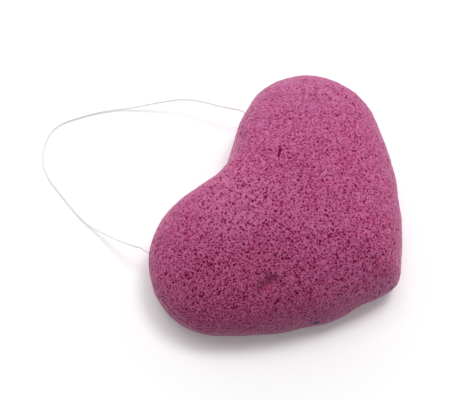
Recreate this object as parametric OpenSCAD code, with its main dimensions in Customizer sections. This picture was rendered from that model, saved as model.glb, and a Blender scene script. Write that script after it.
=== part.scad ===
// Heart-shaped foam sponge lying on its flat back, with its hanging string.
// Millimetres. The origin is the middle of the flat back's box, +Y points to the notch and +Z up to the crown.

/* [Outline] */
// Radius of each round lobe
lobe_r = 21.5; // [20:0.1:24]
// Distance from the heart's centre line to the middle of a lobe
lobe_x = 22.6; // [20:0.1:24]
// Distance along the heart from the middles of the lobes to the middle of the tip
lobe_to_tip = 39.6; // [36:0.2:44]
// Radius of the notch between the lobes
notch_r = 20; // [16:0.5:24]
// Radius of the tip
tip_r = 5.9; // [4:0.1:8]
// Radius of the long flanks
flank_r = 95; // [80:5:140]

/* [Crown] */
// Thickness of the sponge at its crown
sponge_t = 28.5; // [25:0.5:34]
// Height of the widest line of the side
rim_h = 9.8; // [8.4:0.1:12]
// Rounding of the bottom edge
base_round = 3.6; // [1:0.1:5]
// Distance from the middles of the lobes down to the crown's top
crown_drop = 8.3; // [6:0.1:12]
// Half width of the round sections near the crown, if they reached the rim
crown_half_w = 28; // [24:0.5:34]
// Half length of the round sections near the crown, if they reached the rim
crown_half_l = 41; // [32:0.5:42]
// How early the crown starts to turn down, where less is flatter
crown_share = 0.4; // [0.3:0.01:0.5]
// How steeply the shoulder drops, where less is squarer
shoulder_share = 0.44; // [0.36:0.01:0.5]
// How soon the notch fades out up the dome, where less is sooner
fade_share = 1; // [1:0.05:2]

/* [String] */
// Thickness of the string
string_d = 0.8; // [0.6:0.1:1.2]
// Height at which the string runs through the sponge
string_h = 8.7; // [7.5:0.1:9.5]
// Distance of the right mouth of the needle hole from the centre line
right_mouth_x = 21.2; // [18:0.1:22]
// Distance of the left mouth of the needle hole from the centre line
left_mouth_x = 32.3; // [29:0.1:33]
// Foam between the notch and the run of the string across the sponge
notch_cover = 10.7; // [8:0.1:13]
// Radius of the string's two turns inside the sponge
turn_r = 8; // [6:0.5:9]
// Length of string that stands out past the lobes before it swings
stub_l = 0.6; // [0.5:0.1:1.5]

/* [Knot] */
// Thickness of the knot
knot_d = 3.2; // [2.8:0.1:4]
// Length of the knot
knot_l = 3.6; // [3:0.1:5]
// Length of the cut ends beyond the knot
tail_l = 3.5; // [2:0.1:5]

/* [Clearances] */
// Needle hole round the string, all round
hole_gap = 0.1; // [0.05:0.05:0.2]
// Foam pocket round the knot, all round
pocket_gap = 0.25; // [0.2:0.05:0.5]
// Between the end of the loop and the rounded end of the string that it swings on
swing_gap = 0.05; // [0.05:0.05:0.2]
// Between the cut ends and the string beside them
tail_gap = 0.15; // [0.1:0.05:0.3]

/* [Hidden] */

string_r = string_d / 2;
knot_r = knot_d / 2;
foam_pink = "#ad5680";
cotton_white = "#f1efe9";

// Steps of each arc of the outline: notch, lobe, flank and tip
notch_steps = 5;
lobe_steps = 13;
flank_steps = 9;
tip_steps = 5;
// Rings of the crown and of the bottom edge
crown_rings = 11;
base_rings = 3;
// Sides of the string, steps in each turn of it, and rings in each span of the loop's route
string_sides = 8;
turn_steps = 8;
span_rings = 2;
// Steps of the rounded end of a leg and along the knot, and sides of the knot
round_steps = 3;
knot_steps = 6;
knot_sides = 12;

// Places along the heart
lobe_y = (lobe_to_tip + tip_r - lobe_r) / 2;
tip_y = lobe_y - lobe_to_tip;
crown_y = lobe_y - crown_drop;
top_y = lobe_y + lobe_r;
notch_mid_y = lobe_y + sqrt(pow(notch_r + lobe_r, 2) - pow(lobe_x, 2));
notch_y = notch_mid_y - notch_r;

// Centre of the right flank's arc, which touches the lobe's and the tip's from inside
flank_to_lobe = flank_r - lobe_r;
flank_to_tip = flank_r - tip_r;
lobe_tip = norm([lobe_x, lobe_to_tip]);
along = (pow(flank_to_lobe, 2) - pow(flank_to_tip, 2) + pow(lobe_tip, 2)) / (2 * lobe_tip);
across = sqrt(pow(flank_to_lobe, 2) - pow(along, 2));
lobe_mid = [lobe_x, lobe_y];
tip_mid = [0, tip_y];
notch_mid = [0, notch_mid_y];
to_tip = (tip_mid - lobe_mid) / lobe_tip;
flank_mid = lobe_mid + along * to_tip + across * [to_tip[1], -to_tip[0]];

// Places along the string
run_y = notch_y - notch_cover;
hinge_y = top_y + stub_l;
knot_x = (right_mouth_x - left_mouth_x) / 2;
tail_offset = string_d + tail_gap;
pocket_r = max(knot_r, tail_offset + string_r) + pocket_gap;
loop_start_y = hinge_y + string_r + swing_gap;

// Route of the loop from the right mouth, down to the surface, round and back to the left mouth
loop_route = [
    [21, 35.8, 8.7], [20.3, 37.4, 8.7], [19.6, 39.1, 8.7], [18.8, 41.2, 8.6], [17.9, 44.2, 8.5],
    [17, 47.4, 8.1], [15.9, 50.4, 7.4], [14.6, 53.2, 6.6], [12.9, 55.8, 5.6], [10.2, 59.7, 3.9],
    [7.4, 63.4, 2.2], [4.6, 67.2, 0.9], [2, 70.4, 0.5], [-1.4, 73.8, 0.41], [-5.5, 77.2, 0.4],
    [-10, 80.3, 0.4], [-14.2, 81.5, 0.4], [-18.4, 80.8, 0.4], [-22.2, 79, 0.4], [-25.2, 76.4, 0.4],
    [-27.7, 72.2, 0.4], [-29.4, 67.2, 0.4], [-31.1, 62.1, 0.41], [-32.4, 57.3, 0.5], [-33, 53.2, 1],
    [-33.1, 49.3, 2.2], [-33.2, 46.2, 3.6], [-33.2, 42.8, 5.2], [-33, 39.4, 6.8], [-32.8, 37.2, 7.8],
    [-32.5, 35.5, 8.5]
];

function angle_of(v) = atan2(v[1], v[0]);

// Points of an arc about mid, from one angle towards another, without its last point
function arc(mid, r, from, to, steps) =
    [for (i = [0:steps - 1]) let (a = from + (to - from) * i / steps) mid + r * [cos(a), sin(a)]];

// Right half of the heart from the notch round to the tip
notch_end = angle_of(lobe_mid - notch_mid);
lobe_start = notch_end + 180;
lobe_end = angle_of(lobe_mid - flank_mid);
flank_end = angle_of(tip_mid - flank_mid);
half_heart = concat(
    arc(notch_mid, notch_r, -90, notch_end, notch_steps),
    arc(lobe_mid, lobe_r, lobe_start, lobe_end, lobe_steps),
    arc(flank_mid, flank_r, lobe_end, flank_end, flank_steps),
    arc(tip_mid, tip_r, flank_end, -90, tip_steps),
    [[0, tip_y - tip_r]]
);
half_last = len(half_heart) - 1;
heart = concat(half_heart, [for (i = [half_last - 1:-1:1]) [-half_heart[i][0], half_heart[i][1]]]);

// The same direction on the round section that the crown tends to
function round_point(v) =
    let (u = v / norm(v)) u / norm([u[0] / crown_half_w, u[1] / crown_half_l]);

// One ring of the crown, where turn goes from the top to the rim at 90
function crown_ring(turn) =
    let (
        reach = pow(sin(turn), 2 * crown_share),
        fade = pow(1 - reach, fade_share),
        z = rim_h + (sponge_t - rim_h) * pow(cos(turn), 2 * shoulder_share)
    )
    [for (p = heart) let (
        v = p - [0, crown_y],
        q = [0, crown_y] + reach * ((1 - fade) * v + fade * round_point(v))
    ) [q[0], q[1], z]];

// One ring of the rounded bottom edge, where turn goes from the widest line to the flat back at 90
function base_ring(turn) =
    [for (p = heart) let (
        v = p - [0, crown_y],
        q = [0, crown_y] + v * (1 - base_round * (1 - cos(turn)) / norm(v))
    ) [q[0], q[1], rim_h * (1 - sin(turn))]];

// Faces of a solid whose rings of n points turn clockwise as seen from its last ring
function start_face(n) = [for (i = [0:n - 1]) n - 1 - i];
function end_face(rings, n) = [for (i = [0:n - 1]) (rings - 1) * n + i];
function side_faces(rings, n) =
    [for (k = [0:rings - 2]) for (i = [0:n - 1]) let (j = (i + 1) % n)
        each [[k * n + i, k * n + j, (k + 1) * n + j], [k * n + i, (k + 1) * n + j, (k + 1) * n + i]]];

// Foam without the string's hole, from the flat back up to the crown's top
module heart_body() {
    n = len(heart);
    rings = concat(
        [for (k = [base_rings:-1:1]) base_ring(90 * k / base_rings)],
        [for (k = [crown_rings:-1:1]) crown_ring(90 * sin(90 * k / crown_rings))]
    );
    count = len(rings);
    top = count * n;
    points = concat([for (ring = rings) each ring], [[0, crown_y, sponge_t]]);
    polyhedron(points, concat(
        [start_face(n)],
        side_faces(count, n),
        [for (i = [0:n - 1]) [top - n + i, top - n + (i + 1) % n, top]]
    ));
}

// Ring of a tube at point i of its path, square to the path
function tube_ring(path, radii, i) =
    let (
        last = len(path) - 1,
        ahead = path[min(i + 1, last)] - path[max(i - 1, 0)],
        t = ahead / norm(ahead),
        side = cross(t, [0, 0, 1]) / norm(cross(t, [0, 0, 1])),
        up = cross(side, t)
    )
    [for (k = [0:string_sides - 1]) let (a = 360 * (k + 0.5) / string_sides)
        path[i] + radii[i] * (cos(a) * side + sin(a) * up)];

// Solid tube along a path, with a radius at each of its points
module tube(path, radii) {
    count = len(path);
    points = [for (i = [0:count - 1]) each tube_ring(path, radii, i)];
    polyhedron(points, concat(
        [start_face(string_sides)],
        side_faces(count, string_sides),
        [end_face(count, string_sides)]
    ));
}

function even(value, count) = [for (i = [1:count]) value];

// Path of a leg from the knot across the sponge, round its turn and out to the hinge line
function leg_path(side, mouth_x, start_x, end_y) =
    let (turn_x = mouth_x - turn_r, turn_y = run_y + turn_r)
    concat(
        [[start_x, run_y, string_h]],
        [for (i = [0:turn_steps]) let (a = -90 + 90 * i / turn_steps)
            [side * (turn_x + turn_r * cos(a)), turn_y + turn_r * sin(a), string_h]],
        [[side * mouth_x, end_y, string_h]]
    );

// One leg of the string, with a rounded end for the loop to swing on
module leg(side, mouth_x) {
    body = leg_path(side, mouth_x, knot_x + side * knot_l / 2, hinge_y);
    end = [side * mouth_x, hinge_y, string_h];
    cap = [for (i = [1:round_steps]) let (a = 90 * i / (round_steps + 1))
        end + [0, string_r * sin(a), 0]];
    cap_r = [for (i = [1:round_steps]) string_r * cos(90 * i / (round_steps + 1))];
    tube(concat(body, cap), concat(even(string_r, len(body)), cap_r));
}

// Needle hole for one leg, cut from inside the knot's pocket to beyond the lobes
module leg_hole(side, mouth_x) {
    hole = leg_path(side, mouth_x, knot_x, hinge_y + stub_l);
    tube(hole, even(string_r + hole_gap, len(hole)));
}

// Pocket for the knot and the cut ends beside the right leg
module knot_pocket() {
    from = knot_x - knot_l / 2 - pocket_gap;
    to = knot_x + knot_l / 2 + tail_l + pocket_gap;
    tube([[from, run_y, string_h], [to, run_y, string_h]], even(pocket_r / cos(180 / string_sides), 2));
}

module sponge_heart() {
    color(foam_pink) difference() {
        heart_body();
        leg_hole(1, right_mouth_x);
        leg_hole(-1, left_mouth_x);
        knot_pocket();
    }
}

// Catmull-Rom curve through the points, at the share u of the span after point i
function curve_point(points, i, u) =
    let (
        last = len(points) - 1,
        a = points[max(i - 1, 0)],
        b = points[i],
        c = points[min(i + 1, last)],
        d = points[min(i + 2, last)]
    )
    b + 0.5 * u * (c - a + u * (2 * a - 5 * b + 4 * c - d + u * (3 * (b - c) + d - a)));

module string_loop() {
    route = concat(
        [[right_mouth_x, loop_start_y, string_h]],
        loop_route,
        [[-left_mouth_x, loop_start_y, string_h]]
    );
    spans = len(route) - 1;
    path = concat(
        [for (i = [0:spans - 1]) for (k = [0:span_rings - 1]) curve_point(route, i, k / span_rings)],
        [route[spans]]
    );
    color(cotton_white) tube(path, even(string_r, len(path)));
}

module string_leg_right() {
    color(cotton_white) leg(1, right_mouth_x);
}

module string_leg_left() {
    color(cotton_white) leg(-1, left_mouth_x);
}

// Overhand knot of both ends as one round lump, flat where the legs leave it, with its two cut ends
module string_knot() {
    bulge = (pow(knot_l / 2, 2) + pow(knot_r - string_r, 2)) / (2 * (knot_r - string_r));
    side = [for (i = [0:knot_steps]) let (h = knot_l * (i / knot_steps - 0.5))
        [knot_r - bulge + sqrt(pow(bulge, 2) - pow(h, 2)), h]];
    color(cotton_white) translate([knot_x, run_y, string_h]) {
        rotate([0, 90, 0]) rotate_extrude($fn = knot_sides)
            polygon(concat([[0, -knot_l / 2]], side, [[0, knot_l / 2]]));
        for (up = [-1, 1]) translate([0, 0, up * tail_offset])
            rotate([0, 90, 0]) cylinder(knot_l / 2 + tail_l, string_r, string_r, $fn = string_sides);
    }
}

sponge_heart();
string_loop();
string_leg_right();
string_leg_left();
string_knot();
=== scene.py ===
"""A heart-shaped konjac face sponge on its flat back, with its loop of cotton thread.

Everything is in metres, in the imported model's frame.
"""

import math

import bpy
import numpy as np
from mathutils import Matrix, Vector, kdtree, noise


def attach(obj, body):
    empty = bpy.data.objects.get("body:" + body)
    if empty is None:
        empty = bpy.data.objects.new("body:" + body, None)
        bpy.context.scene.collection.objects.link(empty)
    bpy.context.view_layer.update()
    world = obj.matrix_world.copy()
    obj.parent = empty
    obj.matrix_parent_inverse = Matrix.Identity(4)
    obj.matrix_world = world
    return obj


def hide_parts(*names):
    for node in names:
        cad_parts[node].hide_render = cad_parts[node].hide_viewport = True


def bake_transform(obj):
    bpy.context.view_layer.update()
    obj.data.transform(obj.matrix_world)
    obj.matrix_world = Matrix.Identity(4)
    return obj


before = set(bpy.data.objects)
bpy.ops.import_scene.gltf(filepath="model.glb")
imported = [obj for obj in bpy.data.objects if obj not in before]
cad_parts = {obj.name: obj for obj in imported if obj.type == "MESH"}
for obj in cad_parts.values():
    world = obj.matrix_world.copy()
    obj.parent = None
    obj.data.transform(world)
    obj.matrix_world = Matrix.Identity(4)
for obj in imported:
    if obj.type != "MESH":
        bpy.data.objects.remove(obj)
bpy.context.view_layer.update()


# Camera
# It stands on the left of the heart's tip and looks down on the sponge, with the notch at the top left.
# The frame's width at the aim point and the distance give the lens.
AIM = Vector((-0.0064, 0.0223, 0.010))
VIEW_AZIMUTH = math.radians(-55.8)
VIEW_HEIGHT = math.radians(67.9)
VIEW_DISTANCE = 0.450
FRAME_WIDTH = 0.1332

camera_data = bpy.data.cameras.new("camera")
camera = bpy.data.objects.new("camera", camera_data)
bpy.context.scene.collection.objects.link(camera)
to_camera = Vector((
    math.sin(VIEW_AZIMUTH) * math.cos(VIEW_HEIGHT),
    -math.cos(VIEW_AZIMUTH) * math.cos(VIEW_HEIGHT),
    math.sin(VIEW_HEIGHT),
))
camera.location = AIM + VIEW_DISTANCE * to_camera
camera.rotation_euler = to_camera.to_track_quat("Z", "Y").to_euler()
camera_data.lens = camera_data.sensor_width * VIEW_DISTANCE / FRAME_WIDTH
bpy.context.scene.camera = camera


# Thread
# One white cotton thread of three plies. It leaves the sponge at the two lobes, comes down to the table
# and lies there in a loose loop. Inside the foam both ends run to a hidden knot.
THREAD_DIAMETER = 0.0008
THREAD_HEIGHT = 0.0087
THREAD_LAY = 0.0026
PLIES = 3
SIDES_PER_PLY = 8
RING_STEP = 0.00014
# Hand-spun cotton is a little thicker and thinner along its length: by how much, and how often in a metre
THREAD_UNEVENNESS = 0.04
UNEVEN_PLACES = 400
# The plies' white, and a greyer white painted in the grooves between them as painted shade
PLY_WHITE = (0.90, 0.893, 0.885, 1)
GROOVE_SHADE_WHITE = (0.80, 0.79, 0.79, 1)
# The two mouths in the lobes, the line that the loop swings about, and where its free stretch begins
RIGHT_MOUTH_X = 0.0212
LEFT_MOUTH_X = -0.0323
LOOP_START_Y = 0.03455
# The loop's thread starts inside the right lobe and ends inside the left one
RIGHT_INSIDE_Y = 0.032
LEFT_INSIDE_Y = 0.0292
LOOP_ROUTE = [
    (0.021, 0.0358, 0.0087), (0.0203, 0.0374, 0.0087), (0.0196, 0.0391, 0.0087),
    (0.0188, 0.0412, 0.0086), (0.0179, 0.0442, 0.0085), (0.017, 0.0474, 0.0081),
    (0.0159, 0.0504, 0.0074), (0.0146, 0.0532, 0.0066), (0.0129, 0.0558, 0.0056),
    (0.0102, 0.0597, 0.0039), (0.0074, 0.0634, 0.0022), (0.0046, 0.0672, 0.0009),
    (0.002, 0.0704, 0.0005), (-0.0014, 0.0738, 0.00041), (-0.0055, 0.0772, 0.0004),
    (-0.010, 0.0803, 0.0004), (-0.0142, 0.0815, 0.0004), (-0.0184, 0.0808, 0.0004),
    (-0.0222, 0.079, 0.0004), (-0.0252, 0.0764, 0.0004), (-0.0277, 0.0722, 0.0004),
    (-0.0294, 0.0672, 0.0004), (-0.0311, 0.0621, 0.00041), (-0.0324, 0.0573, 0.0005),
    (-0.033, 0.0532, 0.001), (-0.0331, 0.0493, 0.0022), (-0.0332, 0.0462, 0.0036),
    (-0.0332, 0.0428, 0.0052), (-0.033, 0.0394, 0.0068), (-0.0328, 0.0372, 0.0078),
    (-0.0325, 0.0355, 0.0085),
]
# Inside the foam the legs run back to the knot under the notch
RUN_Y = 0.01611
TURN_RADIUS = 0.008
KNOT_X = -0.00555
KNOT_HALF = 0.0018


def even_path(points, step):
    """A Catmull-Rom curve through the points, as evenly spaced points."""
    points = np.array(points, float)
    ends = np.vstack([points[:1], points, points[-1:]])
    fine = []
    for a, b, c, d in zip(ends, ends[1:], ends[2:], ends[3:]):
        for u in np.linspace(0, 1, 40, endpoint=False):
            fine.append(b + 0.5 * u * (c - a + u * (2 * a - 5 * b + 4 * c - d + u * (3 * (b - c) + d - a))))
    fine = np.array(fine + [points[-1]])
    along = np.concatenate([[0], np.cumsum(np.linalg.norm(np.diff(fine, axis=0), axis=1))])
    places = np.linspace(0, along[-1], max(2, round(along[-1] / step)) + 1)
    return np.stack([np.interp(places, along, fine[:, k]) for k in range(3)], axis=1)


def ply_reach(angle):
    """How far the outside of the touching plies is from the thread's middle, as a share of its radius."""
    ply = 1 / (1 + 2 / math.sqrt(3))
    off = (angle + math.pi / PLIES) % (2 * math.pi / PLIES) - math.pi / PLIES
    return (1 - ply) * math.cos(off) + math.sqrt(max(0, ply**2 - ((1 - ply) * math.sin(off)) ** 2))


def twisted_thread(name, points):
    """A closed tube of three plies that twist round a path, and the path's points."""
    path = even_path(points, RING_STEP)
    tangent = np.gradient(path, axis=0)
    tangent /= np.linalg.norm(tangent, axis=1, keepdims=True)
    side = np.cross(tangent[0], (0, 0, 1))
    sides = PLIES * SIDES_PER_PLY
    reach = np.array([ply_reach(2 * math.pi * k / sides) for k in range(sides)])
    verts = []
    travelled = 0
    for k, (point, t) in enumerate(zip(path, tangent)):
        side = side - t * (side @ t)
        side /= np.linalg.norm(side)
        up = np.cross(t, side)
        travelled += np.linalg.norm(path[k] - path[k - 1]) if k else 0
        angles = 2 * math.pi * np.arange(sides) / sides
        turned = angles + 2 * math.pi * travelled / THREAD_LAY
        swell = 1 - THREAD_UNEVENNESS + THREAD_UNEVENNESS * noise.noise(Vector(point) * UNEVEN_PLACES)
        ring = point + THREAD_DIAMETER / 2 * swell * reach[:, None] * (
            np.cos(turned)[:, None] * side + np.sin(turned)[:, None] * up
        )
        verts.extend(ring)
    count = len(path)
    faces = [tuple(range(sides))[::-1], tuple((count - 1) * sides + k for k in range(sides))]
    for r in range(count - 1):
        for k in range(sides):
            n = (k + 1) % sides
            faces.append((r * sides + k, r * sides + n, (r + 1) * sides + n, (r + 1) * sides + k))
    mesh = bpy.data.meshes.new(name)
    mesh.from_pydata([tuple(v) for v in verts], [], faces)
    mesh.shade_smooth()
    # How deep each side lies in a groove between the plies, which the material paints darker as painted
    # shade
    groove_shade = mesh.attributes.new("groove_shade", "FLOAT", "POINT")
    depth = (1 - reach) / (1 - reach.min())
    groove_shade.data.foreach_set("value", np.tile(depth, count).astype(np.float32))
    made = bpy.data.objects.new(name, mesh)
    bpy.context.scene.collection.objects.link(made)
    return made, path


def node(tree, kind, inputs=None, **settings):
    """A shader node with its settings, and its inputs as values or as sockets to link."""
    made = tree.nodes.new(kind)
    for key, value in settings.items():
        setattr(made, key, value)
    for key, value in (inputs or {}).items():
        if isinstance(value, bpy.types.NodeSocket):
            tree.links.new(value, made.inputs[key])
        else:
            made.inputs[key].default_value = value
    return made


def new_material(name):
    """A material with an empty tree, and its tree."""
    made = bpy.data.materials.new(name)
    made.use_nodes = True
    made.node_tree.nodes.clear()
    return made, made.node_tree


def mask(name):
    """A value that the mesh carries at its points, for the material in hand."""
    return node(tree, "ShaderNodeAttribute", attribute_name=name).outputs["Fac"]


def mixed(share, low, high, blend="MIX"):
    """Two colours mixed by a share."""
    made = node(tree, "ShaderNodeMix", {0: share, 6: low, 7: high}, data_type="RGBA", blend_type=blend)
    return made.outputs[2]


cotton, tree = new_material("cotton_thread")
place = node(tree, "ShaderNodeTexCoord").outputs["Object"]
fibres = node(tree, "ShaderNodeTexNoise", {"Vector": place, "Scale": 9000.0, "Detail": 3.0}).outputs
# The grooves between the plies are painted greyer, as painted shade in them
shade = node(tree, "ShaderNodeMapRange", {0: mask("groove_shade"), 1: 0.0, 2: 1.0, 3: 0.0, 4: 0.4}).outputs[0]
white = mixed(shade, PLY_WHITE, GROOVE_SHADE_WHITE)
white = mixed(0.1, white, fibres["Color"], blend="SOFT_LIGHT")
fuzz = node(tree, "ShaderNodeBump", {"Height": fibres["Fac"], "Strength": 0.35, "Distance": 0.00004})
skin = node(tree, "ShaderNodeBsdfPrincipled", {
    "Base Color": white, "Roughness": 0.9, "Specular IOR Level": 0.2,
    "Subsurface Weight": 1.0, "Subsurface Radius": (1, 1, 1), "Subsurface Scale": 0.0012,
    "Sheen Weight": 1.0, "Sheen Roughness": 0.6, "Normal": fuzz.outputs[0],
    # The thread glows a little: its emission is painted light that makes it whiter than the light on it
    "Emission Color": (0.95, 0.97, 1, 1), "Emission Strength": 0.10,
})
# Half of a lamp's light passes between the loose fibres, so that the thread throws a pale shadow
shadow_ray = node(tree, "ShaderNodeLightPath").outputs["Is Shadow Ray"]
passing = node(tree, "ShaderNodeBsdfTransparent", {"Color": (0.5, 0.5, 0.5, 1)})
thin = node(tree, "ShaderNodeMixShader", {0: shadow_ray, 1: skin.outputs[0], 2: passing.outputs[0]})
node(tree, "ShaderNodeOutputMaterial", {"Surface": thin.outputs[0]})

loop_points = (
    [(RIGHT_MOUTH_X, RIGHT_INSIDE_Y, THREAD_HEIGHT), (RIGHT_MOUTH_X, LOOP_START_Y, THREAD_HEIGHT)]
    + LOOP_ROUTE
    + [(LEFT_MOUTH_X, LOOP_START_Y, THREAD_HEIGHT), (LEFT_MOUTH_X, LEFT_INSIDE_Y, THREAD_HEIGHT)]
)
thread, thread_path = twisted_thread("thread_loop", loop_points)


def leg_points(mouth_x, end_y):
    """The thread inside the foam, from its place in a lobe round the turn to the knot."""
    side = math.copysign(1, mouth_x)
    turn_x, turn_y = abs(mouth_x) - TURN_RADIUS, RUN_Y + TURN_RADIUS
    turn = [
        (side * (turn_x + TURN_RADIUS * math.cos(a)), turn_y + TURN_RADIUS * math.sin(a), THREAD_HEIGHT)
        for a in np.radians(np.arange(0, -91, -15))
    ]
    return [(mouth_x, end_y, THREAD_HEIGHT)] + turn + [(KNOT_X + side * KNOT_HALF, RUN_Y, THREAD_HEIGHT)]


for name, mouth_x, end_y, stands_for in (
    ("thread_leg_right", RIGHT_MOUTH_X, RIGHT_INSIDE_Y, "string_leg_right"),
    ("thread_leg_left", LEFT_MOUTH_X, LEFT_INSIDE_Y, "string_leg_left"),
):
    leg, _ = twisted_thread(name, leg_points(mouth_x, end_y))
    leg.data.materials.append(cotton)
    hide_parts(stands_for)
    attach(leg, "sponge")

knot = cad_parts["string_knot"]
knot.data.materials.clear()
knot.data.materials.append(cotton)

thread.data.materials.append(cotton)
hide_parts("string_loop")
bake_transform(thread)


# Foam heart
# One casting of konjac jelly, frozen and thawed in a heart mould, which leaves fine open pores all
# through it. The mould's wall leaves a closer skin and a creased lip round the side. The back is flat.
# The heart's outline has four arcs to each side: the notch, a lobe, a flank and the tip
LOBE_RADIUS = 0.0215
LOBE_OFFSET = 0.0226
LOBES_TO_TIP = 0.0396
NOTCH_RADIUS = 0.020
TIP_RADIUS = 0.0059
FLANK_RADIUS = 0.095
ARC_POINTS = 300
# The dome swells from its rim to an oval crown, which lies a little towards the tip. The two powers shape
# it, and 0.5 would make a plain quarter of an ellipse
THICKNESS = 0.0285
RIM_HEIGHT = 0.0098
BASE_ROUNDING = 0.0036
CROWN_DROP = 0.0083
CROWN_HALF_SIZE = np.array((0.028, 0.041))
CROWN_POWER = 0.40
SHOULDER_POWER = 0.44
PROFILE_POINTS = 400
# Faces from the crown's middle to the flat back's edge
HALF_GRID = 146
# The flat back's zones: where each ends, as a share of the outline, and its rings. One ring more joins it
# to the zone before
BACK_RINGS = ((0.5, 12), (0.25, 5), (0.1, 3))
JOINING_RING = 0.985

# Where the casting stands out from the plain heart or falls short of it: place, reach and rise
CASTING_LUMPS = (
    ((0.0205, 0.033, 0.013), 0.009, -0.0006),
    ((0.0070, 0.0276, 0.016), 0.0075, 0.0009),
    ((-0.0084, 0.0271, 0.020), 0.005, 0.0004),
    ((-0.0432, 0.0140, 0.006), 0.014, 0.0005),
    ((-0.0280, -0.0120, 0.003), 0.009, 0.0005),
    ((-0.0190, -0.0218, 0.005), 0.010, 0.0009),
    ((-0.0098, -0.0282, 0.004), 0.0055, -0.0012),
    ((-0.0030, -0.0322, 0.005), 0.006, -0.0004),
    ((0.0215, -0.0203, 0.012), 0.007, -0.0004),
)
# The whole casting swells a little above the back's edge, with lumps of three sizes: rise and size
FOAM_SWELL = 0.00012
SWELL_LUMPS = ((0.00022, 0.014), (0.00012, 0.005), (0.00011, 0.0012))
SWELL_START = 0.002
# The mould's closer skin fades out between two heights up the side, and covers the back thinly
SKIN_FADE = (0.004, 0.012)
BACK_SKIN = 0.3
# A crease that the mould's edge has left round the left lobe, about ten millimetres above the table. It
# wanders a little along its length, and has a broken ridge beside it
LIP_CREASE = (
    (-0.0428, 0.0185, 0.0125), (-0.0434, 0.0160, 0.0126), (-0.0439, 0.0130, 0.0119),
    (-0.0440, 0.0102, 0.0112), (-0.0436, 0.0076, 0.0103), (-0.0429, 0.0048, 0.0100),
    (-0.0417, 0.0021, 0.0093),
)
CREASE_DEPTH = 0.0002
CREASE_HALF_WIDTH = 0.00045
CREASE_WANDER = 0.00015
WANDER_LENGTH = 0.002
RIDGE_OFFSET = 2.2 * CREASE_HALF_WIDTH
RIDGE_LENGTH = 0.004
# A finger has left one shallow dent on the flank: place, reach and rise, and the ends of its mark
DENT = ((-0.0245, -0.0044, 0.0238), 0.0036, -0.0007)
DENT_ENDS = ((-0.0267, -0.0030, 0.0233), (-0.0226, -0.0056, 0.0242))
DENT_HALF_WIDTH = 0.0015
# A slit in the crown, from its wide end to its narrow one
SLIT_ENDS = ((0.0096, 0.0140, 0.0277), (0.0070, 0.0129, 0.0280))
SLIT_HALF_WIDTHS = (0.00045, 0.00022)
SLIT_DEPTH = 0.0005
# One stray blue fibre sits in the lower edge: place and reach
SPECK = ((-0.02215, -0.0199, 0.0085), 0.0012)

# The larger open pores. Each has a soft edge a little past its radius, and is at most half its radius
# deep. None comes close to the slit
PIT_COUNT = 420
PIT_RADII = (0.00034, 0.00050)
PIT_GAP = 0.0011
PIT_EDGE = 1.25
PIT_DEPTH = 0.5
SLIT_CLEARANCE = 0.003
FOAM_SEED = 41
# How coarse the foam is, and where it is coarser or finer: place, reach and change. It froze faster at the
# right lobe's end, where it is finer, than on the left flank, where it is coarser. The coarser places are
# also painted darker, partly as painted shade on the sides that face away from the lamps
COMMON_GRAIN = 0.75
GRAIN_PLACES = (
    ((0.030, 0.026, 0.018), 0.034, -0.75),
    ((-0.0091, 0.0152, 0.0255), 0.014, -0.25),
    ((-0.026, -0.004, 0.016), 0.031, 0.55),
    ((-0.036, 0.011, 0.018), 0.016, 0.4),
    ((0.001, -0.0200, 0.018), 0.019, 0.4),
)
# Where the foam is closer and paler, by the notch and on the tip's edge: place and reach
PALE_PLACES = (((-0.0091, 0.0155, 0.0255), 0.016), ((-0.0014, -0.0315, 0.011), 0.009))

lobe_y = (LOBES_TO_TIP + TIP_RADIUS - LOBE_RADIUS) / 2
crown_middle = np.array((0, lobe_y - CROWN_DROP))


def bearing(v):
    """The angle at which a flat vector points."""
    return math.atan2(v[1], v[0])


def heart_outline(shares):
    """Points at these shares of the way round the heart, from the notch over the right lobe."""
    lobe, tip = np.array((LOBE_OFFSET, lobe_y)), np.array((0, lobe_y - LOBES_TO_TIP))
    notch = np.array((0, lobe_y + math.sqrt((NOTCH_RADIUS + LOBE_RADIUS) ** 2 - LOBE_OFFSET**2)))
    span = np.linalg.norm(tip - lobe)
    to_lobe, to_tip = FLANK_RADIUS - LOBE_RADIUS, FLANK_RADIUS - TIP_RADIUS
    along = (to_lobe**2 - to_tip**2 + span**2) / (2 * span)
    ahead = (tip - lobe) / span
    flank = lobe + along * ahead + math.sqrt(to_lobe**2 - along**2) * np.array((ahead[1], -ahead[0]))
    notch_end, lobe_end, flank_end = bearing(lobe - notch), bearing(lobe - flank), bearing(tip - flank)
    half = np.vstack([
        middle + radius * np.stack([np.cos(turn), np.sin(turn)], axis=1)
        for middle, radius, start, end in (
            (notch, NOTCH_RADIUS, -math.pi / 2, notch_end),
            (lobe, LOBE_RADIUS, notch_end + math.pi, lobe_end),
            (flank, FLANK_RADIUS, lobe_end, flank_end),
            (tip, TIP_RADIUS, flank_end, -math.pi / 2),
        )
        for turn in [np.linspace(start, end, ARC_POINTS)]
    ])
    whole = np.vstack([half, half[::-1] * (-1, 1)])
    along = np.concatenate([[0], np.cumsum(np.linalg.norm(np.diff(whole, axis=0), axis=1))])
    places = np.asarray(shares) % 1 * along[-1]
    return np.stack([np.interp(places, along, whole[:, k]) for k in (0, 1)], axis=1)


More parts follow.
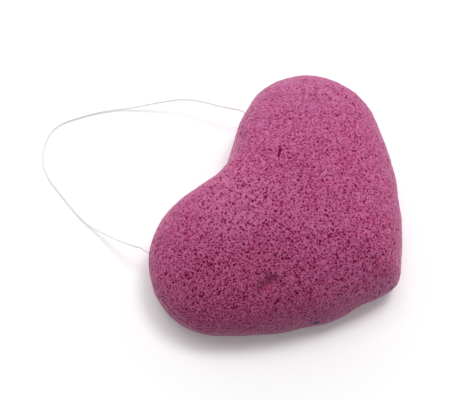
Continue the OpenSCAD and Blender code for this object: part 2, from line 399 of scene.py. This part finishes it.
# The profile from the crown's top over the rim to the flat back: reach, fade, height and inset
turn = np.radians(np.linspace(0, 90, PROFILE_POINTS))
reach = np.sin(turn) ** (2 * CROWN_POWER)
level = 0 * turn
shoulder = RIM_HEIGHT + (THICKNESS - RIM_HEIGHT) * np.cos(turn) ** (2 * SHOULDER_POWER)
over_rim = np.stack([reach, 1 - reach, shoulder, level], axis=1)
under_rim = np.stack([
    1 + level, level, RIM_HEIGHT * (1 - np.sin(turn)), BASE_ROUNDING * (1 - np.cos(turn)),
], axis=1)
profile = np.vstack([over_rim, under_rim[1:]])
mean_radius = np.linalg.norm(heart_outline(np.linspace(0, 1, 200)) - crown_middle, axis=1).mean()
mean_reach = profile[:, 0] * mean_radius + profile[:, 1] * CROWN_HALF_SIZE.mean()
run = np.stack([profile[:, 0] * mean_reach - profile[:, 3], profile[:, 2]], axis=1)
profile_length = np.concatenate([[0], np.cumsum(np.linalg.norm(np.diff(run, axis=0), axis=1))])


def foam_surface(around, down):
    """Points of the plain moulded surface, at shares of the way round and of the way down the profile."""
    outline = heart_outline(around) - crown_middle
    distance = np.linalg.norm(outline, axis=1, keepdims=True)
    direction = outline / distance
    crown = direction / np.linalg.norm(direction / CROWN_HALF_SIZE, axis=1, keepdims=True)
    at = np.asarray(down) * profile_length[-1]
    reach, fade, height, inset = (np.interp(at, profile_length, profile[:, k])[:, None] for k in range(4))
    flat = crown_middle + reach * ((1 - fade) * outline + fade * crown) - inset * direction
    return np.hstack([flat, height])


def smooth_step(x, low, high):
    """A smooth rise from 0 at the low end to 1 at the high end."""
    t = np.clip((x - low) / (high - low), 0, 1)
    return t * t * (3 - 2 * t)


# A square grid pulled over the dome keeps its faces even in size, and is its own flat map for textures.
# walk counts the steps round each square ring of the grid, from the notch over the right lobe
steps = np.arange(-HALF_GRID, HALF_GRID + 1)
gi, gj = (a.ravel() for a in np.meshgrid(steps, steps, indexing="ij"))
ring = np.maximum(np.abs(gi), np.abs(gj))
walk = np.where(
    (gj == ring) & (gi >= 0), gi,
    np.where((gi == ring) & (ring > 0), 2 * ring - gj,
             np.where(gj == -ring, 4 * ring - gi, np.where(gi == -ring, 6 * ring + gj, 8 * ring + gi))),
)
around = np.where(ring > 0, walk / np.maximum(8 * ring, 1), 0)
down = ring / HALF_GRID
verts = foam_surface(around, down)
across = 2 * HALF_GRID + 1
index = np.arange(across * across).reshape(across, across)
quads = np.stack([index[:-1, :-1], index[1:, :-1], index[1:, 1:], index[:-1, 1:]], axis=-1).reshape(-1, 4)
dome_map = np.stack([(gi + HALF_GRID) / (2 * HALF_GRID), (gj + HALF_GRID) / (2 * HALF_GRID)], axis=1)

# The flat back takes over the dome's last ring and has half as many points in each of its zones
faces = [tuple(q) for q in quads.tolist()]
dome_faces = len(faces)
edge = np.nonzero(ring == HALF_GRID)[0]
edge = edge[np.argsort(around[edge])]
rim = verts[edge].copy()
back_middle = np.append(crown_middle, 0)
back_verts = []


def back_ring(share, count):
    """Adds one ring of the flat back and returns the numbers of its points."""
    first = len(verts) + len(back_verts)
    back_verts.extend(back_middle + share * (rim[:: len(rim) // count] - back_middle))
    return np.arange(first, first + count)


share = 1.0
outer = edge
for end_share, rings in BACK_RINGS:
    count = len(outer) // 2
    share *= JOINING_RING
    inner = back_ring(share, count)
    for k in range(count):
        a, b, c = outer[2 * k], outer[2 * k + 1], outer[(2 * k + 2) % len(outer)]
        p, q = inner[k], inner[(k + 1) % count]
        faces += [(a, p, b), (b, p, q), (b, q, c)]
    for wanted in np.linspace(share, end_share, rings + 1)[1:]:
        outer, share = inner, wanted
        inner = back_ring(share, count)
        for k in range(count):
            n = (k + 1) % count
            faces.append((outer[k], inner[k], inner[n], outer[n]))
    outer = inner
middle_number = len(verts) + len(back_verts)
back_verts.append(back_middle)
faces += [(outer[k], middle_number, outer[(k + 1) % len(outer)]) for k in range(len(outer))]
verts = np.vstack([verts, back_verts])

foam_mesh = bpy.data.meshes.new("foam_heart")
foam_mesh.from_pydata(verts.tolist(), [], [tuple(int(k) for k in f) for f in faces])
foam_mesh.update()
normals = np.zeros(len(verts) * 3, np.float32)
foam_mesh.vertex_normals.foreach_get("vector", normals)
normals = normals.reshape(-1, 3).astype(float)
foam = bpy.data.objects.new("foam_heart", foam_mesh)
bpy.context.scene.collection.objects.link(foam)
foam_mesh.shade_smooth()


def uneven(points, scale, seed):
    """Smooth noise at each point, about -1 to 1, with lumps of the given size."""
    shift = Vector((seed * 7.31, seed * 3.77, seed * 5.13))
    return np.array([noise.noise(Vector(p) / scale + shift) for p in points])


def bump_at(points, place, reach):
    """A smooth bump of height 1 at a place, gone at its reach."""
    away = np.linalg.norm(points - np.array(place), axis=1) / reach
    return np.where(away < 1, (1 - np.minimum(away, 1) ** 2) ** 2, 0)


def distance_to(points, route):
    """How far each point is from a line through the route's places."""
    nearest = np.full(len(points), np.inf)
    for start, end in zip(np.array(route[:-1]), np.array(route[1:])):
        span = end - start
        share = np.clip((points - start) @ span / (span @ span), 0, 1)
        nearest = np.minimum(nearest, np.linalg.norm(points - start - share[:, None] * span, axis=1))
    return nearest


# The casting shrinks unevenly as it dries
height = verts[:, 2]
on_dome = np.arange(len(verts)) < across * across
loose = np.where(on_dome, smooth_step(height, 0, SWELL_START), 0)
swell = np.full(len(verts), FOAM_SWELL)
for seed, (rise, lump) in enumerate(SWELL_LUMPS, 1):
    swell += rise * uneven(verts, lump, seed)
for place, reach, rise in (*CASTING_LUMPS, DENT):
    swell += rise * bump_at(verts, place, reach)
away = distance_to(verts, LIP_CREASE) + CREASE_WANDER * uneven(verts, WANDER_LENGTH, 4)
creased = np.exp(-((away / CREASE_HALF_WIDTH) ** 2))
ridged = np.exp(-(((away - RIDGE_OFFSET) / CREASE_HALF_WIDTH) ** 2))
ridged *= np.clip(0.6 + 1.2 * uneven(verts, RIDGE_LENGTH, 5), 0, 1)
swell += CREASE_DEPTH * (ridged - creased)
skinned = np.where(on_dome, 1 - smooth_step(height, *SKIN_FADE), BACK_SKIN)
grain_and_shade = COMMON_GRAIN + sum(
    change * bump_at(verts, place, reach) for place, reach, change in GRAIN_PLACES
)
pale = sum(bump_at(verts, *patch) for patch in PALE_PLACES)

# The larger open pores, which are cut through bubbles, and the slit
rng = np.random.default_rng(FOAM_SEED)
tree_of_points = kdtree.KDTree(len(verts))
for k, point in enumerate(verts):
    tree_of_points.insert(point, k)
tree_of_points.balance()
# pore marks the pits and the slit, which the material paints dark as painted shade in their hollows
pit = np.zeros(len(verts))
pore = np.zeros(len(verts))
placed = []
for k in rng.permutation(np.nonzero(on_dome)[0])[:4 * PIT_COUNT]:
    if len(placed) == PIT_COUNT:
        break
    if np.linalg.norm(verts[k] - np.mean(SLIT_ENDS, axis=0)) < SLIT_CLEARANCE:
        continue
    if placed and min((verts[k] - p) @ (verts[k] - p) for p in placed) < PIT_GAP**2:
        continue
    placed.append(verts[k])
    # Both are smaller in the closer skin
    radius = rng.uniform(*PIT_RADII) * (1 - 0.3 * skinned[k])
    strength = rng.uniform(0.5, 1) * (1 - 0.6 * skinned[k])
    for _, n, away in tree_of_points.find_range(verts[k], radius * PIT_EDGE):
        inside = max(0, 1 - (away / (radius * PIT_EDGE)) ** 2)
        pit[n] = max(pit[n], PIT_DEPTH * inside * radius * strength)
        pore[n] = max(pore[n], smooth_step(inside, 0.1, 0.9) * strength)
slit_start, slit_end = np.array(SLIT_ENDS)
slit_span = slit_end - slit_start
slit_share = np.clip((verts - slit_start) @ slit_span / np.sum(slit_span**2), 0, 1)
slit_width = SLIT_HALF_WIDTHS[0] + slit_share * (SLIT_HALF_WIDTHS[1] - SLIT_HALF_WIDTHS[0])
slit = np.exp(-((distance_to(verts, SLIT_ENDS) / slit_width) ** 2))
pit = np.maximum(pit, SLIT_DEPTH * slit)
pore = np.maximum(pore, slit)

push = loose * swell - pit
moved = verts + normals * push[:, None]
moved[:, 2] = np.maximum(moved[:, 2], 0)
foam_mesh.vertices.foreach_set("co", moved.astype(np.float32).ravel())
for name, values in (
    ("pore", pore), ("skinned", skinned), ("creased", creased), ("ridged", ridged),
    ("handled", np.exp(-((distance_to(verts, DENT_ENDS) / DENT_HALF_WIDTH) ** 2))),
    ("speck", bump_at(verts, *SPECK) ** 0.5), ("grain_and_shade", grain_and_shade), ("pale", pale),
):
    attribute = foam_mesh.attributes.new(name, "FLOAT", "POINT")
    attribute.data.foreach_set("value", values.astype(np.float32))
foam_mesh.update()

# The flat map: the dome above, the back below
UV_EDGE = 0.005
BACK_TOP = 0.285
DOME_BOTTOM = 0.30
corner_vertex = np.zeros(len(foam_mesh.loops), int)
foam_mesh.loops.foreach_get("vertex_index", corner_vertex)
low, high = rim.min(axis=0), rim.max(axis=0)
back_map = (verts[corner_vertex, :2] - low[:2]) / (high - low)[:2]
padded_map = np.vstack([dome_map, np.zeros((len(verts) - len(dome_map), 2))])[corner_vertex]
back_uv = UV_EDGE + back_map * (1 - 2 * UV_EDGE, BACK_TOP - UV_EDGE)
dome_uv = (UV_EDGE, DOME_BOTTOM) + padded_map * (1 - 2 * UV_EDGE, 1 - UV_EDGE - DOME_BOTTOM)
face_of_corner = np.repeat(np.arange(len(foam_mesh.polygons)), [p.loop_total for p in foam_mesh.polygons])
uv = np.where((face_of_corner < dome_faces)[:, None], dome_uv, back_uv)
uv_layer = foam_mesh.uv_layers.new(name="OFBake")
uv_layer.data.foreach_set("uv", uv.astype(np.float32).ravel())

# Open pores in one size: each cell of the foam has one bubble, and the cell's own numbers set its width and
# depth. How open a pore is sets its bump and how dark the material paints it, as painted shade in the
# hollow
open_pores = bpy.data.node_groups.new("open_pores", "ShaderNodeTree")
open_pores.interface.new_socket("Place", in_out="INPUT", socket_type="NodeSocketVector")
for socket in ("Cells per metre", "Radius in cells"):
    open_pores.interface.new_socket(socket, in_out="INPUT", socket_type="NodeSocketFloat")
open_pores.interface.new_socket("Open", in_out="OUTPUT", socket_type="NodeSocketFloat")
given = node(open_pores, "NodeGroupInput").outputs
bubbles = node(open_pores, "ShaderNodeTexVoronoi", {
    "Vector": given["Place"], "Scale": given["Cells per metre"],
})
number = node(open_pores, "ShaderNodeSeparateColor", {"Color": bubbles.outputs["Color"]})
width = node(open_pores, "ShaderNodeMapRange", {0: number.outputs[0], 1: 0.0, 2: 1.0, 3: 0.55, 4: 1.25})
outside = node(open_pores, "ShaderNodeMath", {
    0: width.outputs[0], 1: given["Radius in cells"],
}, operation="MULTIPLY")
inside = node(open_pores, "ShaderNodeMath", {0: outside.outputs[0], 1: 0.55}, operation="MULTIPLY")
cut = node(open_pores, "ShaderNodeMapRange", {
    0: bubbles.outputs["Distance"], 1: outside.outputs[0], 2: inside.outputs[0], 3: 0.0, 4: 1.0,
}, interpolation_type="SMOOTHSTEP")
depth = node(open_pores, "ShaderNodeMapRange", {0: number.outputs[1], 1: 0.0, 2: 1.0, 3: 0.25, 4: 1.0})
shown = node(open_pores, "ShaderNodeMath", {0: cut.outputs[0], 1: depth.outputs[0]}, operation="MULTIPLY")
node(open_pores, "NodeGroupOutput", {"Open": shown.outputs[0]})


# The pores' three sizes: cells per metre and radius in cells
COARSE_PORES = (500.0, 0.20)
MIDDLING_PORES = (860.0, 0.37)
FINE_PORES = (1280.0, 0.43)
# The cells' walls bend by this much, in bends of about a millimetre
WALL_BEND = 0.00035
BENDS_PER_METRE = 900.0
# How many to the metre there are of the broad patches, the mottling and the finest grain
PATCHES_PER_METRE = 260.0
MOTTLES_PER_METRE = 1300.0
GRAINS_PER_METRE = 3600.0
# The pinks that freezing leaves, and those of the places that were pressed or torn. Some of them stand for
# light and shade: the coarse pink is partly painted shade, the pore colours are painted shade in the
# hollows, the lit wall is painted light through thin walls, the skin pink is partly painted sheen, and the
# crease and ridge colours are painted shade and a painted highlight
DEEP_PINK = (0.370, 0.024, 0.114, 1)
SOFT_PINK = (0.410, 0.074, 0.198, 1)
COARSE_SHADED_PINK = (0.280, 0.009, 0.066, 1)
FINE_PINK = (0.285, 0.062, 0.152, 1)
CLOSE_PINK = (0.60, 0.16, 0.31, 1)
MOTTLED_PINK = (0.255, 0.009, 0.070, 1)
SHADED_PORE_WALL = (0.235, 0.008, 0.066, 1)
PORE_FLOOR_SHADE = (0.115, 0.002, 0.028, 1)
LIT_WALL = (0.65, 0.21, 0.42, 1)
TORN_FOAM = (0.14, 0.022, 0.044, 1)
SKIN_AND_SHEEN_PINK = (0.36, 0.130, 0.220, 1)
CREASE_SHADE = (0.24, 0.020, 0.080, 1)
RIDGE_HIGHLIGHT = (0.62, 0.24, 0.40, 1)
BLUE_FIBRE = (0.015, 0.006, 0.085, 1)


def pores_at(place, cells, radius):
    """The open pores of one size."""
    return node(tree, "ShaderNodeGroup", {
        "Place": place, "Cells per metre": cells, "Radius in cells": radius,
    }, node_tree=open_pores).outputs["Open"]


def ranged(value, low, high, to_low, to_high):
    """A value moved from one range to another, with soft ends."""
    made = node(tree, "ShaderNodeMapRange", {0: value, 1: low, 2: high, 3: to_low, 4: to_high},
                interpolation_type="SMOOTHSTEP")
    return made.outputs[0]


def math_of(operation, a, b, c=0.0):
    """One step of arithmetic."""
    made = node(tree, "ShaderNodeMath", {0: a, 1: b, 2: c}, operation=operation)
    return made.outputs[0]


konjac, tree = new_material("konjac_foam")
straight = node(tree, "ShaderNodeTexCoord").outputs["Object"]
wobble = node(tree, "ShaderNodeTexNoise", {"Vector": straight, "Scale": BENDS_PER_METRE, "Detail": 1.0})
bent = node(tree, "ShaderNodeVectorMath", {
    0: wobble.outputs["Color"], 1: (WALL_BEND, WALL_BEND, WALL_BEND),
}, operation="MULTIPLY")
place = node(tree, "ShaderNodeVectorMath", {0: straight, 1: bent.outputs[0]}, operation="ADD").outputs[0]
coarse = pores_at(place, *COARSE_PORES)
middling = pores_at(place, *MIDDLING_PORES)
fine = pores_at(place, *FINE_PORES)
small = math_of("MAXIMUM", middling, math_of("MULTIPLY", fine, 0.62))
cut_pores = math_of("MAXIMUM", coarse, small)
closed = ranged(mask("skinned"), 0.2, 1.0, 1.0, 0.65)
shown = math_of("MULTIPLY", closed, math_of("MULTIPLY_ADD", mask("grain_and_shade"), 0.6, 0.4))
all_pores = math_of("MAXIMUM", math_of("MULTIPLY", cut_pores, shown), mask("pore"))
patches = node(tree, "ShaderNodeTexNoise", {
    "Vector": straight, "Scale": PATCHES_PER_METRE, "Detail": 4.0, "Roughness": 0.7,
}).outputs["Fac"]
mottle = node(tree, "ShaderNodeTexNoise", {
    "Vector": straight, "Scale": MOTTLES_PER_METRE, "Detail": 2.0, "Roughness": 0.6,
}).outputs["Fac"]
walls = node(tree, "ShaderNodeTexVoronoi", {
    "Vector": place, "Scale": FINE_PORES[0],
}, feature="DISTANCE_TO_EDGE").outputs["Distance"]

# The solid foam between the pores
body = mixed(ranged(patches, 0.34, 0.66, 0.0, 1.0), DEEP_PINK, SOFT_PINK)
# Coarser and darker on the left flank and towards the tip: partly the grain, partly painted shade on the
# sides away from the lamps
body = mixed(ranged(mask("grain_and_shade"), COMMON_GRAIN, 1.25, 0.0, 0.75), body, COARSE_SHADED_PINK)
body = mixed(ranged(mask("grain_and_shade"), 0.6, 0.0, 0.0, 0.5), body, FINE_PINK)
body = mixed(ranged(mask("pale"), 0.0, 0.9, 0.0, 0.45), body, CLOSE_PINK)
body = mixed(ranged(mottle, 0.54, 0.31, 0.0, 0.95), body, MOTTLED_PINK)
# The pores are painted dark, as painted shade in their hollows, and the thin walls between them are painted
# lighter, as painted light that passes through them
colour = mixed(ranged(all_pores, 0.0, 0.5, 0.0, 1.0), body, SHADED_PORE_WALL)
colour = mixed(ranged(all_pores, 0.45, 1.0, 0.0, 1.0), colour, PORE_FLOOR_SHADE)
skin_light = math_of("MAXIMUM", ranged(mottle, 0.48, 0.68, 0.0, 0.6),
                     ranged(walls, 0.13, 0.02, 0.0, 0.6))
skin_light = math_of("MULTIPLY", skin_light, ranged(all_pores, 0.5, 0.15, 0.0, 1.0))
colour = mixed(skin_light, colour, LIT_WALL)
# What the mould and the hand have left on it, and the fibre, with painted sheen on the low side, and
# painted shade and a painted highlight at the crease
torn = math_of("MULTIPLY", mask("handled"), ranged(mottle, 0.62, 0.40, 0.75, 1.0))
colour = mixed(ranged(torn, 0.05, 0.9, 0.0, 0.6), colour, TORN_FOAM)
# The low side is paler: partly the mould's closer skin, partly painted sheen of the rim
colour = mixed(ranged(mask("skinned"), 0.0, 1.0, 0.0, 0.25), colour, SKIN_AND_SHEEN_PINK)
# The crease is painted darker, as painted shade, and the ridge beside it lighter, as a painted highlight
colour = mixed(ranged(mask("creased"), 0.1, 1.0, 0.0, 0.12), colour, CREASE_SHADE)
colour = mixed(ranged(mask("ridged"), 0.2, 0.9, 0.0, 0.65), colour, RIDGE_HIGHLIGHT)
colour = mixed(ranged(mask("speck"), 0.1, 0.4, 0.0, 1.0), colour, BLUE_FIBRE)
grain = node(tree, "ShaderNodeTexNoise", {"Vector": straight, "Scale": GRAINS_PER_METRE, "Detail": 2.0})
relief = math_of("MULTIPLY_ADD", all_pores, -1.8, grain.outputs["Fac"])
bump = node(tree, "ShaderNodeBump", {"Height": relief, "Strength": 0.6, "Distance": 0.0002})
konjac_skin = node(tree, "ShaderNodeBsdfPrincipled", {
    "Base Color": colour, "Roughness": 0.85, "Specular IOR Level": 0.06,
    "Sheen Weight": 0.56, "Sheen Roughness": 0.38, "Sheen Tint": (1, 0.74, 0.91, 1),
    "Normal": bump.outputs[0],
})
node(tree, "ShaderNodeOutputMaterial", {"Surface": konjac_skin.outputs[0]})
foam_mesh.materials.append(konjac)
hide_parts("sponge_heart")
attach(foam, "sponge")


# Table and light
# A plain white table, lit faintly from below, in a light tent that is brightest low down behind the
# sponge. A wide softbox stands high behind it, and a smaller one, high at the right, throws the thin
# shadows of the thread.
TABLE_SIZE = 1.0
# The table lies a hair under the sponge's back, so that the two don't share a plane
TABLE_GAP = 0.00005
# How much light the paper throws back on things. Seen directly it is a little whiter, like the backdrop
PAPER_WHITE = (0.80, 0.80, 0.80, 1)
BRIGHTENER = (0.19, 0.19, 0.19, 1)
LIGHT_BELOW = 0.12
# The tent's light low down behind the sponge, and all round
TENT_GLOW = 2.9
TENT_LIGHT = 0.18

table_mesh = bpy.data.meshes.new("table")
half = TABLE_SIZE / 2
corners = [(-half, -half, 0), (half, -half, 0), (half, half, 0), (-half, half, 0)]
table_mesh.from_pydata(corners, [], [(0, 1, 2, 3)])
table = bpy.data.objects.new("table", table_mesh)
table.location.z = -TABLE_GAP
bpy.context.scene.collection.objects.link(table)


def shown_directly(tree):
    """1 where the camera, a mirror or glass looks straight at the background, and 0 elsewhere."""
    rays = node(tree, "ShaderNodeLightPath").outputs
    direct = rays["Is Camera Ray"]
    for other in ("Is Glossy Ray", "Is Transmission Ray"):
        direct = node(tree, "ShaderNodeMath", {0: direct, 1: rays[other]}, operation="MAXIMUM").outputs[0]
    return direct


paper, tree = new_material("white_paper")
matt = node(tree, "ShaderNodeBsdfDiffuse", {"Color": PAPER_WHITE})
brightener = node(tree, "ShaderNodeBsdfDiffuse", {"Color": BRIGHTENER})
white = node(tree, "ShaderNodeAddShader", {0: matt.outputs[0], 1: brightener.outputs[0]})
below = node(tree, "ShaderNodeEmission", {"Color": (1, 1, 1, 1), "Strength": LIGHT_BELOW})
white = node(tree, "ShaderNodeAddShader", {0: white.outputs[0], 1: below.outputs[0]})
either = node(tree, "ShaderNodeMixShader", {
    0: shown_directly(tree), 1: matt.outputs[0], 2: white.outputs[0],
})
node(tree, "ShaderNodeOutputMaterial", {"Surface": either.outputs[0]})
table_mesh.materials.append(paper)

studio = bpy.data.worlds.new("studio")
bpy.context.scene.world = studio
studio.use_nodes = True
tree = studio.node_tree
tree.nodes.clear()
away = Vector((-math.sin(VIEW_AZIMUTH), math.cos(VIEW_AZIMUTH), 0))
aside = Vector((math.cos(VIEW_AZIMUTH), math.sin(VIEW_AZIMUTH), 0))
behind = (away + 0.02 * aside).normalized()
heading = node(tree, "ShaderNodeTexCoord").outputs["Generated"]
facing = node(tree, "ShaderNodeVectorMath", {0: heading, 1: behind}, operation="DOT_PRODUCT")
lit_side = ranged(facing.outputs["Value"], -0.8, 0.8, 0.0, 1.0)
upward = node(tree, "ShaderNodeSeparateXYZ", {0: heading}).outputs["Z"]
lowness = node(tree, "ShaderNodeMapRange", {0: upward, 1: 0.0, 2: 1.0, 3: 1.0, 4: 0.0}).outputs[0]
glow = math_of("MULTIPLY", lit_side, math_of("POWER", lowness, 2.0))
tent = math_of("MULTIPLY_ADD", glow, TENT_GLOW, TENT_LIGHT)
room = node(tree, "ShaderNodeBackground", {"Color": (1, 1, 1, 1), "Strength": tent})
backdrop = node(tree, "ShaderNodeBackground", {"Color": (1, 1, 1, 1), "Strength": 1.0})
either = node(tree, "ShaderNodeMixShader", {
    0: shown_directly(tree), 1: room.outputs[0], 2: backdrop.outputs[0],
})
node(tree, "ShaderNodeOutputWorld", {"Surface": either.outputs[0]})

# Each softbox: where it stands from the sponge, its size and how brightly it lights the table
for name, place, size, level in (
    ("wide_softbox", 0.40 * away - 0.08 * aside + Vector((0, 0, 1.75)), 0.95, 0.30),
    ("small_softbox", 0.45 * away + 0.50 * aside + Vector((0, 0, 1.66)), 0.48, 0.33),
):
    lamp_data = bpy.data.lights.new(name, "AREA")
    lamp_data.shape = "SQUARE"
    lamp_data.size = size
    lamp_data.energy = math.pi**2 * place.length_squared * level
    lamp = bpy.data.objects.new(name, lamp_data)
    lamp.location = AIM + place
    lamp.rotation_euler = place.to_track_quat("Z", "Y").to_euler()
    bpy.context.scene.collection.objects.link(lamp)

bpy.context.scene.view_settings.view_transform = "Standard"
